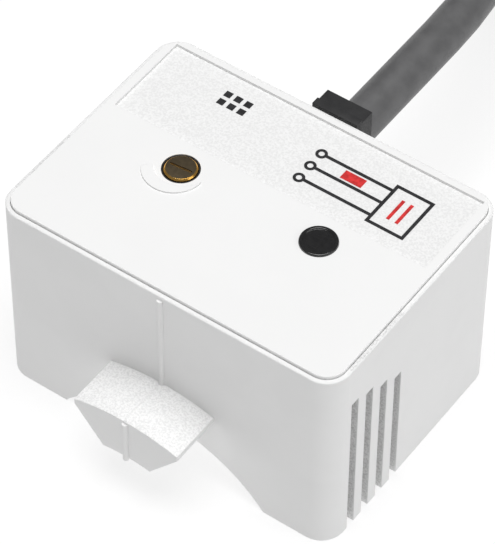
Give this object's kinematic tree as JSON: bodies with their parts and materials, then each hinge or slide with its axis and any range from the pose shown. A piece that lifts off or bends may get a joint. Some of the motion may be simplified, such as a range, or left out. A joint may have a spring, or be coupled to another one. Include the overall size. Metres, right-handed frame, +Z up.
{
  "type": "proximity sensor",
  "caption": "White rectangular capacitive proximity sensor with a curved pipe saddle, tie noses, a sensitivity trimmer, an indicator window and a flying lead.",
  "frame": {"origin": "on the plane of the two feet, in the middle of the housing", "axes": "+Z up through the lid, +X along the long side towards the indicator, -Y the front, +Y the cable side"},
  "size_m": [0.0467, 0.1674, 0.0224],
  "materials": {
    "housing_white": "fine-grained white moulded PBT",
    "lid_white": "smooth white moulded PBT with a finely grained recess",
    "ink_black": "pad-printed ink",
    "ink_red": "pad-printed ink",
    "window_black": "dark tinted, polished",
    "clear_plastic": "clear moulded",
    "led_white": "small package with a clear dome",
    "brass": "turned, slightly tarnished",
    "spring_metal": "stamped, plated",
    "track_ceramic": "fired cermet track",
    "trimmer_blue": "moulded thermoset",
    "seal_black": "moulded",
    "board_green": "solder-masked glass-epoxy laminate",
    "chip_black": "moulded epoxy package with tinned legs",
    "capacitor_tan": "multilayer ceramic",
    "resistor_black": "thick film on alumina",
    "copper": "rolled foil",
    "film_amber": "polyimide film",
    "tinned_wire": "tinned copper",
    "resin": "cast epoxy",
    "gland_black": "moulded",
    "tie_white": "moulded nylon",
    "jacket_black": "extruded PVC, satin",
    "core_brown": "extruded PVC insulation",
    "core_black": "extruded PVC insulation",
    "core_blue": "extruded PVC insulation"
  },
  "bodies": {
    "sensor": {"housing_shell": "housing_white", "lid": "lid_white", "legend_black": "ink_black", "legend_red": "ink_red", "indicator_window": "window_black", "light_guide": "clear_plastic", "status_led": "led_white", "trimmer_track": "track_ceramic", "trimmer_body": "trimmer_blue", "trimmer_pins": "tinned_wire", "trimmer_seal": "seal_black", "circuit_board": "board_green", "sensor_chip": "chip_black", "voltage_regulator": "chip_black", "output_transistor": "chip_black", "protection_diodes": "chip_black", "board_capacitors": "capacitor_tan", "board_resistors": "resistor_black", "sensing_electrode": "copper", "electrode_film": "film_amber", "guard_electrode": "copper", "electrode_leads": "tinned_wire", "potting_block": "resin", "cable_gland": "gland_black", "cable_clamp": "tie_white", "cable_run": "jacket_black", "cable_hank": "jacket_black", "hank_ties": "tie_white", "cable_tail": "jacket_black", "tinned_tips": "tinned_wire", "board_wire_brown": "core_brown", "lead_brown": "core_brown", "board_wire_black": "core_black", "lead_black": "core_black", "board_wire_blue": "core_blue", "lead_blue": "core_blue"},
    "trimmer": {"trimmer_screw": "brass", "trimmer_wiper": "spring_metal"}
  },
  "joints": [
    {"name": "trimmer_turn", "type": "hinge", "parent": "sensor", "child": "trimmer", "pos_m": [-0.00719, -0.00027, 0.02215], "axis": [0, 0, 1], "range_deg": [-135, 135]}
  ]
}
